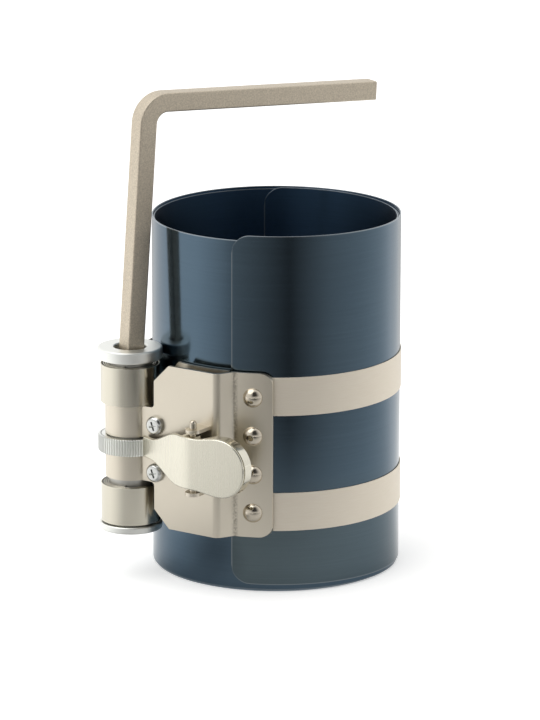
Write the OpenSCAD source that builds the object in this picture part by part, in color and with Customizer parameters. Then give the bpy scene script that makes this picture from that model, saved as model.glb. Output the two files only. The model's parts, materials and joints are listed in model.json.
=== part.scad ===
// Piston ring compressor: a sheet-steel sleeve wound on itself, drawn tight by two bands
// that a keyed shaft winds in, with a pawl and a toothed wheel to hold what is wound.
// Origin: sleeve axis, at the edge it stands on. Z is up the axis and the bracket faces -Y.

/* [Sleeve] */
// Bore the sleeve is wound to, diameter (mm)
bore_d = 101.6; // [90:0.2:174]
// Width of the sleeve strip (mm)
sleeve_w = 149.2; // [120:0.1:165]
// Sleeve sheet thickness (mm)
sleeve_t = 0.5; // [0.3:0.05:0.8]
// Gap between neighbouring turns (mm)
lap_gap = 0.15; // [0.1:0.01:0.4]
// Direction of the strip's outer end (deg)
outer_end = 283.6; // [282:0.1:285]
// How far past the parting line the inner end runs (deg)
inner_run = 26.4; // [5:0.1:60]
// Corner radius on the strip's ends (mm)
end_r = 8; // [2:0.5:12]
// How far the outer end stands above the standing edge (mm)
outer_rise = 3.2; // [0:0.1:5]

/* [Bands] */
// Band width (mm)
band_w = 16.4; // [12:0.1:18]
// Band thickness (mm)
band_t = 0.45; // [0.3:0.05:0.7]
// Pitch of the loose inner coil (mm)
coil_pitch = 0.85; // [0.7:0.01:1.0]
// How far the band runs round the coil (deg)
wrap_run = 290; // [240:1:300]

/* [Winding shaft] */
// Height of the bracket's centre above the standing edge (mm)
mech_z = 59.7; // [55:0.1:80]
// How far the shaft and the pawl sit below the bracket's centre (mm)
shaft_drop = 1.4; // [0:0.1:2]
// Direction of the shaft from the sleeve axis (deg)
shaft_dir = 237.3; // [235:0.1:240]
// Shaft radius (mm)
shaft_r = 9; // [8:0.1:9.5]
// Running clearance of the shaft in its knuckles (mm)
shaft_fit = 0.05; // [0.02:0.01:0.1]
// Head collar and ratchet wheel radius (mm)
wheel_r = 13.6; // [13:0.1:14]
// Teeth on the ratchet wheel
wheel_teeth = 72; // [48:1:90]
// Depth of a tooth (mm)
tooth_h = 0.6; // [0.4:0.1:0.9]
// Head collar thickness (mm)
collar_h = 5; // [3:0.1:7]

/* [Bracket] */
// Bracket sheet thickness (mm)
plate_t = 1.5; // [1.2:0.1:1.8]
// Half the height of the bracket (mm)
plate_h = 35.2; // [34:0.1:38]
// Guide plate thickness (mm)
guide_t = 1.2; // [0.8:0.1:1.4]
// Direction of the rivet row (deg)
rivet_dir = 294.2; // [293:0.1:296]
// Distance of the end rivets from the bracket's ends (mm)
rivet_margin = 10.45; // [9.5:0.05:11.5]
// Rivet head radius (mm)
rivet_head = 4.1; // [3:0.1:4.5]

/* [Pawl] */
// Pawl sheet thickness (mm)
pawl_t = 1.6; // [1.2:0.1:1.8]
// Radius of the thumb end (mm)
thumb_r = 12.4; // [12:0.1:13.2]
// How far the pawl's middle stands above the wheel's (mm)
pawl_rise = 1.1; // [0:0.1:1.3]
// Pivot pin radius (mm)
pin_r = 1.5; // [1.2:0.1:1.8]
// Play between the nose and the tooth tips (mm)
nose_gap = 0.15; // [0.1:0.01:0.3]

/* [Key] */
// Side of the square key (mm)
key_s = 8; // [7:0.1:8.4]
// Length of the arm from the leg's axis (mm)
key_arm = 111; // [80:1:140]
// Height of the arm above the socket's middle (mm)
key_leg = 115.2; // [100:0.1:130]
// Lean of the key in its loose socket (deg)
key_lean = 4; // [0:0.1:4]
// Angle the bar is bent through (deg)
key_bend = 89.2; // [85:0.1:92]
// Direction the arm points (deg)
key_dir = 65.5; // [0:0.5:180]

/* [Hidden] */
$fn = 144;
bore_r = bore_d / 2;
pitch = sleeve_t + lap_gap;
sleeve_out = bore_r + sleeve_t + 2 * pitch;
turn_r = sleeve_out - sleeve_t / 2;
rises = [outer_rise, 1, 0.8, 0, 0, 0.6, 0.6];
seam = 0.1;
lap_c = pitch / 2 * dir(outer_end + 180);
rest_gap = 0.05;
band_in = sleeve_out + rest_gap;
band_out = band_in + band_t;
rivet_pitch = (plate_h - rivet_margin) / 1.5;
band_off = 1.5 * rivet_pitch;
guide_out = band_in + guide_t;
flange_in = guide_out + rest_gap;
flange_out = flange_in + plate_t;
flange_mid = flange_in + plate_t / 2;
flange_start = outer_end + 2;
flange_end = outer_end + 19.4;
guide_end = flange_end - 1;
shaft_d = sleeve_out + wheel_r;
S = shaft_d * dir(shaft_dir);
knuckle_in = shaft_r + shaft_fit;
knuckle_out = knuckle_in + plate_t;
wheel_half = 3.55;
shaft_z = mech_z - shaft_drop;
knuckle_gap = wheel_half + 0.5;
coil_off = band_off + 1;
tongue_h = band_off - band_w / 2 - 0.45;
knuckle_top = shaft_z + coil_off - band_w / 2 - 0.5;
knuckle_bot = mech_z - tongue_h;
face_y = S[1] - knuckle_out / 2 + 0.6;
back_y = face_y + plate_t;
seat_x = S[0] + wheel_r + 2.8;
edge_x = S[0] + wheel_r + 1.8;
jog_x = flange_out * cos(flange_start) - 4;
coil_out = shaft_r + 3.45;
coil_in = coil_out - band_t;
wound_r = coil_in - 0.35 - band_t / 2 - 2.5 * coil_pitch;
slot_dir = 295;
tangent_a = tangent();
head_z = coil_off + band_w / 2 + 2.1;
foot_z = coil_off + band_w / 2 + 0.6;
foot_h = 3;
socket_s = key_s + 1.2;
socket_h = 14;
pin_p = [jog_x - 5.8, face_y - 8];
ear_z = 13.4;
ear_t = plate_t;
ear_w = 3.3;
pin_end = ear_z + ear_t / 2 + 3.9;
pin_foot = ear_z + ear_t / 2 + 0.4;
screw_x = seat_x;
screw_z = 10.25;
screw_r = 2;
nose = S + (wheel_r + nose_gap + 0.08) * dir(-30);
pawl_a = [pin_p[0] + 0.4, pin_p[1] - 6.2];
thumb_x = pin_p[0] + 16.9;
pawl_b = [thumb_x + thumb_r + 2, pin_p[1] - 5.2];
rim_h = 5.4;
hole_gap = 0.02;

function dir(a) = [cos(a), sin(a)];
function unit(v) = v / norm(v);
// Half a seam's angle at radius r
function seam_a(r) = seam / r * 90 / PI;
function left(v) = [-v[1], v[0]];
// Direction in which the band leaves the sleeve and meets the coil
function tangent() =
    let(v = S - lap_c, r = band_out - pitch / 2)
    atan2(v[1], v[0]) + 360 - acos((r - coil_out) / norm(v));
// Points round a bend of radius r at p1
function bend(p0, p1, p2, r, n = 8) =
    let(a = unit(p1 - p0), b = unit(p2 - p1), s = sign(cross(a, b)), turn = acos(a * b))
    let(st = p1 - a * r * tan(turn / 2), c = st + left(a) * s * r)
    let(a0 = atan2(st[1] - c[1], st[0] - c[0]))
    [for (i = [0:n]) c + r * dir(a0 + s * turn * i / n)];
function miter(P, i, d) =
    let(a = i == 0 ? unit(P[1] - P[0]) : unit(P[i] - P[i - 1]))
    let(b = i == len(P) - 1 ? a : unit(P[i + 1] - P[i]), n = unit(left(a) + left(b)))
    P[i] + n * d / (n * left(b));
function smooth(t) = let(u = min(max(t, 0), 1)) u * u * (3 - 2 * u);
// Half the pawl's width along its length: a narrow nose, a shoulder and the thumb end
function half(x) =
    4.5 + 6.5 * smooth((x - nose[0] - 5) / 19.3)
    + (thumb_r - 11) * smooth((x - pin_p[0] - 4) / (thumb_x - pin_p[0] - 4));

module ribbon(P, d0, d1) {
    n = len(P) - 1;
    polygon(concat([for (i = [0:n]) miter(P, i, d0)], [for (i = [0:n]) miter(P, n - i, d1)]));
}

module arc(c, ri, ro, a0, a1) {
    n = ceil((a1 - a0) / 40);
    translate(c)
        intersection() {
            difference() {
                circle(ro);
                circle(ri);
            }
            polygon(concat([[0, 0]], [for (i = [0:n]) 2 * ro * dir(a0 + (a1 - a0) * i / n)]));
        }
}

// Space between the strip's two edges, which slope from the front to the back
module strip_slab(zf, zb) {
    rotate([0, 0, outer_end])
        translate([0, 0, (zf + zb) / 2])
            rotate([0, -atan((zf - zb) / (2 * turn_r)), 0])
                translate([-2 * turn_r, -2 * turn_r, 0])
                    cube([4 * turn_r, 4 * turn_r, sleeve_w]);
}

// Half a turn of the strip: k counts inward from the outer end, and rises holds its edge's height
module half_turn(k, run = 180) {
    r = turn_r - k * pitch / 2;
    c = k % 2 == 0 ? [0, 0] : lap_c;
    a = outer_end + (k % 2) * 180;
    intersection() {
        translate([0, 0, -5])
            linear_extrude(height = sleeve_w + 15)
                arc(c, r - sleeve_t / 2, r + sleeve_t / 2, a + seam_a(r), a + run - seam_a(r));
        strip_slab(rises[k + k % 2], rises[k + 1 - k % 2]);
    }
}

// Joins two stretches of a strip across their seam, inside the sheet
module weld(r, a, t) {
    rotate(a)
        translate([r - 0.3 * t, -0.3])
            square([0.6 * t, 0.6]);
}

// What is cut off a corner of the strip; s is the way the strip runs, t is up or down
module corner_cut(a, s, z, t) {
    rotate([0, 0, a])
        translate([bore_r - 5, 0, z])
            difference() {
                translate([0, s > 0 ? -1 : -end_r, t > 0 ? -end_r : -6])
                    cube([15, end_r + 1, end_r + 6]);
                translate([-1, s * end_r, -t * end_r])
                    rotate([0, 90, 0])
                        cylinder(r = end_r + seam, h = 17);
            }
}

module rivet_holes(z, r, x0, x1) {
    for (h = z)
        translate([0, 0, mech_z + h])
            rotate([0, 90, rivet_dir])
                translate([0, 0, x0])
                    cylinder(r = r, h = x1 - x0);
}

module sleeve() {
    color("#2f3e50") {
        difference() {
            half_turn(0);
            corner_cut(outer_end, 1, sleeve_w + outer_rise, 1);
            corner_cut(outer_end, 1, outer_rise, -1);
            rivet_holes([-1.5, -0.5, 0.5, 1.5] * rivet_pitch, screw_r + hole_gap, bore_r, band_out);
        }
        for (k = [1:4])
            half_turn(k);
        difference() {
            half_turn(5, inner_run);
            corner_cut(outer_end - 180 + inner_run, -1, sleeve_w + rises[6], 1);
            corner_cut(outer_end - 180 + inner_run, -1, rises[6], -1);
        }
        for (k = [0:4])
            translate([0, 0, rises[k + 1] + seam])
                linear_extrude(height = sleeve_w - 2 * seam)
                    weld(turn_r - ceil(k / 2) * pitch, outer_end + 180 * (k + 1), sleeve_t);
    }
}

// A band from under the bracket's flange, round the sleeve and once round the coil
module band(side) {
    r0 = band_in - pitch / 2;
    r1 = band_out - pitch / 2;
    d = dir(tangent_a);
    z0 = mech_z + side * band_off - band_w / 2;
    z1 = shaft_z + side * coil_off - band_w / 2;
    p0 = lap_c + r1 * d;
    run = S + coil_out * d - p0;
    e = seam / 2 * unit(run);
    slope = atan((z1 - z0) / norm(run));
    color("#c9c2b4")
        difference() {
            union() {
                translate([0, 0, z0])
                    linear_extrude(height = band_w) {
                        arc([0, 0], band_in, band_out, outer_end + 4, outer_end + 180 - seam_a(band_in));
                        arc(lap_c, r0, r1, outer_end - 180 + seam_a(r0), tangent_a - seam_a(r0));
                        weld((band_in + band_out) / 2, outer_end + 180, band_t);
                    }
                intersection() {
                    translate([0, 0, z1 - 5])
                        linear_extrude(height = band_w + 10)
                            polygon([lap_c + r0 * d + e, lap_c + r1 * d + e,
                                S + coil_out * d - e, S + coil_in * d - e]);
                    translate([p0[0], p0[1], z0])
                        rotate([0, 0, atan2(run[1], run[0])])
                            rotate([0, -slope, 0])
                                translate([-10, -10, 0])
                                    cube([norm(run) + 20, 20, band_w * cos(slope)]);
                }
                translate([0, 0, z1])
                    linear_extrude(height = band_w)
                        arc(S, coil_in, coil_out, tangent_a + seam_a(coil_in), tangent_a + wrap_run);
                translate([0, 0, z0 + 2])
                    linear_extrude(height = band_w - 4)
                        translate(lap_c)
                            weld((r0 + r1) / 2, tangent_a, band_t);
                translate([0, 0, z1 + 2])
                    linear_extrude(height = band_w - 4)
                        translate(S)
                            weld((coil_in + coil_out) / 2, tangent_a, band_t);
            }
            rivet_holes([side * 1.5] * rivet_pitch, screw_r + hole_gap, bore_r, band_out + 5);
        }
}

module upper_band() band(1);
module lower_band() band(-1);

// The turns that go round with the shaft, and their tail in the shaft's slot
module wound(side) {
    spiral = [for (a = [-900:10:-10]) (wound_r - coil_pitch * a / 360) * dir(a)];
    tail = [[wound_r, -band_t / 2], [shaft_r - 2, -band_t / 2]];
    color("#bfb8aa")
        translate([S[0], S[1], shaft_z + side * coil_off - band_w / 2])
            rotate([0, 0, slot_dir])
                linear_extrude(height = band_w)
                    ribbon(concat(spiral, tail), -band_t / 2, band_t / 2);
}

module upper_coil() wound(1);
module lower_coil() wound(-1);

// Bracket sheet, seen from above: flat, jog and flange
function plate_path() =
    let(y = face_y + plate_t / 2, j = flange_mid * dir(flange_start))
    let(f = [for (a = [flange_start + 1.8:1.2:flange_end]) flange_mid * dir(a)])
    concat([[S[0] + knuckle_in + 0.3, y]], bend([edge_x, y], [jog_x, y], j, 3),
        bend([jog_x, y], j, f[0], 2), f, [flange_mid * dir(flange_end)]);

// Bracket outline, seen from the front
module plate_outline() {
    c = 7.5;
    r = 5;
    x1 = flange_out * cos(flange_end) - 0.2;
    difference() {
        union() {
            polygon(concat(
                [[edge_x, plate_h - c], [edge_x, c - plate_h], [edge_x + c, -plate_h]],
                [for (i = [0:8]) [x1 - r, r - plate_h] + r * dir(-90 + i * 11.25)],
                [for (i = [0:8]) [x1 - r, plate_h - r] + r * dir(i * 11.25)],
                [[edge_x + c, plate_h]]));
            translate([S[0], -tongue_h])
                square([edge_x - S[0] + 1, 2 * tongue_h]);
            for (s = [-1, 1])
                translate([edge_x - 1.6, s > 0 ? tongue_h : -tongue_h - 1.6])
                    square(1.6);
        }
        for (s = [-1, 1])
            translate([edge_x - 1.6, s * (tongue_h + 1.6)])
                circle(1.6);
        translate([S[0], -knuckle_gap - shaft_drop])
            square([wheel_r + 0.8, 2 * knuckle_gap]);
        translate([pin_p[0] - 4.1, -ear_z + ear_t / 2 - shaft_drop])
            square([7.9, 2 * ear_z - ear_t]);
    }
}

module front_plate() {
    color("#cdc6b8")
        difference() {
            union() {
                intersection() {
                    translate([0, 0, mech_z - plate_h - 1])
                        linear_extrude(height = 2 * plate_h + 2)
                            ribbon(plate_path(), -plate_t / 2, plate_t / 2);
                    translate([0, 0, mech_z])
                        rotate([90, 0, 0])
                            linear_extrude(height = 80)
                                plate_outline();
                }
                for (z = [[knuckle_bot, shaft_z - knuckle_gap], [shaft_z + knuckle_gap, knuckle_top]])
                    translate([S[0], S[1], z[0]]) {
                        cylinder(r = knuckle_out, h = z[1] - z[0]);
                        translate([knuckle_in, back_y + 0.15 - S[1], 0])
                            cube([seat_x + 5 - S[0] - knuckle_in, plate_t, z[1] - z[0]]);
                    }
                for (s = [-1, 1])
                    translate([pin_p[0], pin_p[1], shaft_z + s * ear_z - ear_t / 2]) {
                        cylinder(r = ear_w, h = ear_t);
                        translate([-ear_w, 0, 0])
                            cube([2 * ear_w, back_y - pin_p[1], ear_t]);
                    }
            }
            translate([S[0], S[1], mech_z - tongue_h - 1])
                cylinder(r = knuckle_in, h = 2 * tongue_h + 2);
            translate([pin_p[0], pin_p[1], shaft_z - ear_z - ear_t])
                cylinder(r = pin_r + hole_gap, h = 2 * ear_z + 2 * ear_t);
            for (s = [-1, 1])
                translate([screw_x, back_y + plate_t + 2, shaft_z + s * screw_z])
                    rotate([90, 0, 0])
                        cylinder(r = screw_r + hole_gap, h = 2 * plate_t + 6);
            rivet_holes([-1.5, -0.5, 0.5, 1.5] * rivet_pitch, screw_r + hole_gap, band_in, flange_out + 5);
        }
}

// Guide that bridges the gap under the bracket, riveted by its stem under the flange
module rear_plate() {
    c = 4;
    x0 = S[0] + wheel_r + 4.7;
    x1 = guide_out * cos(outer_end - 0.8);
    color("#bdb5a6")
        difference() {
            intersection() {
                translate([0, 0, mech_z - plate_h])
                    linear_extrude(height = 2 * plate_h)
                        arc([0, 0], band_in, guide_out, shaft_dir, guide_end);
                translate([0, 0, mech_z])
                    rotate([90, 0, 0])
                        linear_extrude(height = 80) {
                            polygon([[x0, plate_h - c], [x0, c - plate_h], [x0 + c, -plate_h],
                                [x1, -plate_h], [x1, plate_h], [x0 + c, plate_h]]);
                            translate([x1 - 2, -tongue_h + 0.2])
                                square([30, 2 * tongue_h - 0.4]);
                        }
            }
            rivet_holes([-0.5, 0.5] * rivet_pitch, screw_r + hole_gap, bore_r, flange_out);
        }
}

module winding_shaft() {
    color("#b9b6ae")
        translate([S[0], S[1], shaft_z])
            difference() {
                translate([0, 0, -foot_z])
                    cylinder(r = shaft_r, h = foot_z + head_z);
                translate([0, 0, head_z - socket_h])
                    rotate([0, 0, key_dir])
                        translate([-socket_s / 2, -socket_s / 2, 0])
                            cube([socket_s, socket_s, socket_h + 1]);
                for (s = [-1, 1])
                    rotate([0, 0, slot_dir])
                        translate([shaft_r - 2.3, -band_t - 0.1, s * coil_off - band_w / 2 - 0.3])
                            cube([6, band_t + 0.2, band_w + 0.6]);
            }
}

module turned(r0, r1, h, b) {
    rotate_extrude()
        polygon([[r0, 0], [r1 - b, 0], [r1, b], [r1, h - b], [r1 - b, h], [r0, h]]);
}

module head_collar() {
    color("#d6d8d4")
        translate([S[0], S[1], shaft_z + head_z])
            turned(key_s * 0.85, wheel_r, collar_h, 0.5);
}

module foot_flange() {
    color("#d6d8d4")
        translate([S[0], S[1], shaft_z - foot_z - foot_h])
            rotate_extrude()
                polygon([[0, 0], [wheel_r - 0.8, 0], [wheel_r - 0.3, 0.5],
                    [wheel_r - 0.3, foot_h - 0.5], [wheel_r - 0.8, foot_h], [0, foot_h]]);
}

module ratchet_wheel() {
    n = wheel_teeth;
    color("#d2d4d0")
        translate([S[0], S[1], shaft_z - wheel_half])
            difference() {
                linear_extrude(height = 2 * wheel_half)
                    polygon([for (i = [0:n - 1], k = [0:2])
                        (k == 0 ? wheel_r - tooth_h : wheel_r) * dir(360 / n * (i + [0, 0.5, 0.78][k]))]);
                translate([0, 0, -1])
                    cylinder(r = shaft_r + hole_gap, h = 2 * wheel_half + 2);
            }
}

function pawl_path() =
    concat([nose], bend(nose, pawl_a, pawl_b, 16), [pawl_b]);

module pawl_outline(d) {
    n = 28;
    xs = [for (i = [0:n]) nose[0] - 2 + (thumb_x - nose[0] + 2) * i / n];
    polygon(concat([for (x = xs) [x, half(x) - d]], [for (i = [0:n]) [xs[n - i], d - half(xs[n - i])]]));
    translate([thumb_x, 0])
        circle(thumb_r - d);
}

module pawl_lever() {
    z = half(pin_p[0]);
    color("#d8d2c6")
        translate([0, 0, shaft_z + pawl_rise])
            difference() {
                union() {
                    intersection() {
                        translate([0, 0, -thumb_r - 1])
                            linear_extrude(height = 2 * thumb_r + 2)
                                ribbon(pawl_path(), -pawl_t / 2, pawl_t / 2);
                        rotate([90, 0, 0])
                            linear_extrude(height = 100)
                                pawl_outline(0);
                    }
                    intersection() {
                        translate([0, 0, -thumb_r - 1])
                            linear_extrude(height = 2 * thumb_r + 2)
                                ribbon(pawl_path(), -pawl_t / 2, rim_h);
                        rotate([90, 0, 0])
                            linear_extrude(height = 100)
                                intersection() {
                                    difference() {
                                        pawl_outline(0);
                                        pawl_outline(pawl_t);
                                    }
                                    translate([thumb_x - 8, -20])
                                        square([40, 40]);
                                }
                    }
                    for (s = [-1, 1])
                        translate([0, 0, s > 0 ? z - 0.3 - pawl_t : 0.3 - z])
                            linear_extrude(height = pawl_t) {
                                translate(pin_p)
                                    circle(ear_w);
                                intersection() {
                                    ribbon(pawl_path(), 0, 8);
                                    translate([pin_p[0] - ear_w, pin_p[1] - 8])
                                        square([2 * ear_w, 8]);
                                }
                            }
                }
                translate([pin_p[0], pin_p[1], -20])
                    cylinder(r = pin_r + shaft_fit, h = 40);
            }
}

module pivot_pin() {
    color("#c4c2bc")
        translate([pin_p[0], pin_p[1], shaft_z])
            rotate_extrude()
                polygon(concat([[0, -pin_foot], [pin_r - 0.3, -pin_foot], [pin_r, 0.3 - pin_foot]],
                    [for (i = [0:5]) [0, pin_end - pin_r] + pin_r * dir(18 * i)]));
}

// Wire swept along points that never run straight up
module wire(P, r, m) {
    n = len(P);
    T = [for (i = [0:n - 1]) unit(P[min(i + 1, n - 1)] - P[max(i - 1, 0)])];
    A = [for (t = T) unit(cross(t, [0, 0, 1]))];
    B = [for (i = [0:n - 1]) cross(A[i], T[i])];
    pts = [for (i = [0:n - 1], j = [0:m - 1]) P[i] + r * (cos(360 / m * j) * A[i] + sin(360 / m * j) * B[i])];
    sides = [for (i = [0:n - 2], j = [0:m - 1])
        [i * m + j, i * m + (j + 1) % m, (i + 1) * m + (j + 1) % m, (i + 1) * m + j]];
    ends = [[for (j = [0:m - 1]) m - 1 - j], [for (j = [0:m - 1]) (n - 1) * m + j]];
    polyhedron(points = pts, faces = concat(sides, ends), convexity = 8);
}

// Torsion spring on the pin: one leg behind the thumb end, the other on the bracket
module pawl_spring() {
    w = 0.4;
    r = pin_r + w + 0.45;
    turns = 5.5;
    rise = 0.95;
    n = 16 * turns;
    z0 = -rise * turns / 2;
    coil = [for (i = [0:n]) [r * cos(-90 + 22.5 * i), r * sin(-90 + 22.5 * i), z0 + rise * i / 16]];
    color("#8f9092")
        translate([pin_p[0], pin_p[1], shaft_z])
            wire(concat([[9, -r - 1.9, z0]], coil, [[-8, r + 4.9, -z0]]), w, 8);
}

module flange_rivet(i) {
    h = 2.5;
    R = (rivet_head * rivet_head + h * h) / (2 * h);
    color("#cfcac0")
        translate([0, 0, mech_z + (i - 2.5) * rivet_pitch])
            rotate([0, 90, rivet_dir]) {
                translate([0, 0, sleeve_out - sleeve_t])
                    cylinder(r = screw_r, h = flange_out + 0.01 - sleeve_out + sleeve_t);
                intersection() {
                    translate([0, 0, flange_out + 0.01 + h - R])
                        sphere(r = R);
                    translate([0, 0, flange_out + 0.01])
                        cylinder(r = rivet_head + 1, h = h + 1);
                }
            }
}

module flange_rivet_1() flange_rivet(1);
module flange_rivet_2() flange_rivet(2);
module flange_rivet_3() flange_rivet(3);
module flange_rivet_4() flange_rivet(4);

// Pan-head screw with a cross recess, through the tongue and the roll's tail
module knuckle_screw(s) {
    h = 2.6;
    tail = 2 * plate_t + 0.15;
    color("#cfd1d0")
        translate([screw_x, face_y, shaft_z + s * screw_z])
            rotate([90, 0, 0])
                difference() {
                    union() {
                        rotate_extrude()
                            polygon(concat([[0, 0], [4, 0], [4, h - 1.2]],
                                [for (i = [1:5]) [2.8, h - 1.2] + 1.2 * dir(18 * i)], [[0, h]]));
                        translate([0, 0, -tail - 4])
                            cylinder(r = screw_r, h = tail + 4.1);
                    }
                    for (a = [20, 110])
                        rotate([0, 0, a])
                            translate([-2.1, -0.45, h - 1.5])
                                cube([4.2, 0.9, 3]);
                }
}

module knuckle_screw_upper() knuckle_screw(1);
module knuckle_screw_lower() knuckle_screw(-1);

module knuckle_nut(s) {
    y = back_y + 0.15 + plate_t;
    color("#c6c8c7")
        translate([screw_x, y, shaft_z + s * screw_z])
            rotate([-90, 0, 0])
                difference() {
                    cylinder(r = 3.5 / cos(30), h = 3.2, $fn = 6);
                    translate([0, 0, -1])
                        cylinder(r = screw_r + hole_gap, h = 6, $fn = 48);
                }
}

module knuckle_nut_upper() knuckle_nut(1);
module knuckle_nut_lower() knuckle_nut(-1);

// Square bar bent to an L, leaning in the shaft's socket
module square_key() {
    r = 9;
    reach = r * tan(key_bend / 2);
    foot = [0, -5];
    corner = [0, key_leg - r + reach];
    tip = corner + (reach + key_arm - r) * dir(90 - key_bend);
    color("#b3ab9c")
        translate([S[0], S[1], shaft_z + head_z - socket_h / 2])
            rotate([0, 0, key_dir])
                rotate([90, 0, 0])
                    rotate([0, 0, -key_lean])
                        translate([0, 0, -key_s / 2])
                            linear_extrude(height = key_s)
                                ribbon(concat([foot], bend(foot, corner, tip, r, 16), [tip]),
                                    -key_s / 2, key_s / 2);
}

sleeve();
upper_band();
lower_band();
upper_coil();
lower_coil();
front_plate();
rear_plate();
winding_shaft();
head_collar();
ratchet_wheel();
foot_flange();
pawl_lever();
pivot_pin();
pawl_spring();
flange_rivet_1();
flange_rivet_2();
flange_rivet_3();
flange_rivet_4();
knuckle_screw_upper();
knuckle_screw_lower();
knuckle_nut_upper();
knuckle_nut_lower();
square_key();
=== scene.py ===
# Finishes a piston ring compressor: its wound strips, pressed parts, small hardware, metals and studio.
import json
import math
from functools import partial

import bmesh
import bpy
from bpy.props import FloatProperty, FloatVectorProperty, IntProperty, PointerProperty
from mathutils import Matrix, Vector


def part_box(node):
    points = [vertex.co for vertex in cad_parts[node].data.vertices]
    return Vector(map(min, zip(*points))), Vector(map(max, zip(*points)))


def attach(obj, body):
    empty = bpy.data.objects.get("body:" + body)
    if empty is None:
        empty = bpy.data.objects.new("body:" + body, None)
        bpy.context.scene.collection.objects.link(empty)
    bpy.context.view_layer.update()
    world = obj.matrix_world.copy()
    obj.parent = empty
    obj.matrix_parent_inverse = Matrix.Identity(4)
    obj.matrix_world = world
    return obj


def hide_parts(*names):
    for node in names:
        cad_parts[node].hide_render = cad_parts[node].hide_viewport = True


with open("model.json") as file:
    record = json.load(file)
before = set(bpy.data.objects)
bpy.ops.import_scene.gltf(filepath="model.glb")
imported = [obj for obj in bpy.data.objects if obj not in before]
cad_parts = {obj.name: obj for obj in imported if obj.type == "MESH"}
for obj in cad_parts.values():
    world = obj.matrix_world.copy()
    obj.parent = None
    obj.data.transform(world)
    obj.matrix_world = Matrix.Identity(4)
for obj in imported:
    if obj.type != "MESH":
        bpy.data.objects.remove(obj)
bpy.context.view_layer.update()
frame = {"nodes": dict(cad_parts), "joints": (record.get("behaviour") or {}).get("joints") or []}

bl_info = {
    "name": "Piston ring compressor",
    "version": (1, 0, 0),
    "blender": (4, 5, 0),
    "location": "View3D > Sidebar > Compressor",
    "description": "Makes the strips, pressed parts, hardware and studio of a piston ring compressor",
    "category": "Add Mesh",
}

MM = 0.001
JOINTS = {joint["name"]: joint for joint in frame["joints"]}
SHAFT = Vector(JOINTS["shaft_turn"]["pos_m"])
PIN = Vector(JOINTS["pawl_release"]["pos_m"])
KEY_AXIS = Vector(JOINTS["key_lift"]["axis"])
UP = Vector((0, 0, 1))
# Points closer than this are one, and faces that meet at less than this angle are one flat.
WELD, FLAT = 0.002 * MM, math.radians(0.4)
# Radius on the edges of the shaft and the nuts, and of the shank of a rivet or a screw.
TURNED_EDGE, SHANK_R = 0.2 * MM, 2 * MM
# Height in mm of the sleeve's lower edge at the start of each half-turn, from the outer end inwards.
EDGE_RISES = (3.2, 1, 0.8, 0, 0, 0.6, 0.6)
# A wing of the screws' cross: its length, width and height in mm, at the bottom and above the head.
CROSS_DEEP, CROSS_TOP = (2.6, 0.6, -1.6), (4.6, 1.0, 1.0)
# Degrees round from the camera, to the picture's right, and how dark the studio's cloth is near and far.
CLOTH_NEAR = (
    (-75, 0.1), (-60, 0.2), (-50, 0.35), (-38, 0.45), (-20, 0.45), (0, 0.42), (25, 0.36), (50, 0.3),
    (80, 0.2), (105, 0.1), (125, 0))
CLOTH_FAR = (
    (-180, 0.7), (-168, 0.6), (-148, 0.2), (-115, 0), (-75, 0.1), (-60, 0.28), (-50, 0.42), (-38, 0.64),
    (0, 0.86), (12, 0.93), (25, 0.82), (50, 0.6), (80, 0.42), (105, 0.22), (125, 0), (150, 0.2), (168, 0.6),
    (180, 0.7))
# Share of a turn from behind the object, by the picture's left side, and how bright the studio's walls are
# there, at the horizon and higher up.
WALLS_LOW = (
    (0, 1), (0.1, 1.2), (0.18, 1.2), (0.24, 0.95), (0.36, 0.85), (0.5, 0.72), (0.62, 0.75), (0.75, 0.85),
    (0.85, 1), (1, 1))
WALLS_HIGH = (
    (0, 1), (0.1, 1.1), (0.24, 1.1), (0.36, 0.85), (0.43, 0.6), (0.48, 0.05), (0.59, 0.05), (0.67, 0.65),
    (0.75, 1), (0.85, 1), (1, 1))


def linear(code):
    """Linear colour of an sRGB hex code."""
    parts = [int(code[i:i + 2], 16) / 255 for i in (1, 3, 5)]
    return tuple(c / 12.92 if c <= 0.04045 else ((c + 0.055) / 1.055) ** 2.4 for c in parts)


def size(name, description, default):
    """A length in metres whose default is given in millimetres."""
    return FloatProperty(name=name, description=description, default=default * MM, unit="LENGTH")


def angle(name, description, default):
    """An angle whose default is given in degrees."""
    return FloatProperty(name=name, description=description, default=math.radians(default), unit="ROTATION")


def colour(name, description, code):
    """A colour whose default is an sRGB hex code."""
    return FloatVectorProperty(
        name=name, description=description, subtype="COLOR", min=0, max=1, default=linear(code))


class SleeveSizes(bpy.types.PropertyGroup):
    """Sizes of the wound sleeve and the two bands round it."""
    bore: size("Bore", "Radius that the sleeve is wound to", 50.8)
    sheet: size("Sheet", "Thickness of the sleeve's sheet", 0.5)
    lap_gap: size("Lap gap", "Gap between neighbouring turns", 0.15)
    width: size("Width", "Width of the sleeve's strip", 149.2)
    outer_end: angle("Outer end", "Direction of the strip's outer end", 283.6)
    inner_run: angle("Inner run", "How far the last half-turn runs", 26.4)
    corner: size("Corner", "Radius on the strip's corners", 8)
    edge: size("Edge", "Radius on the strip's edges", 0.12)
    band_sheet: size("Band sheet", "Thickness of a band", 0.45)
    band_width: size("Band width", "Width of a band", 16.4)
    band_edge: size("Band edge", "Radius on a band's edges", 0.18)
    coil_over: size("Coil", "How far a band's turn stands off the shaft", 3.45)
    coil_pitch: size("Coil pitch", "Pitch of the loose turns on the shaft", 0.85)


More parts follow.
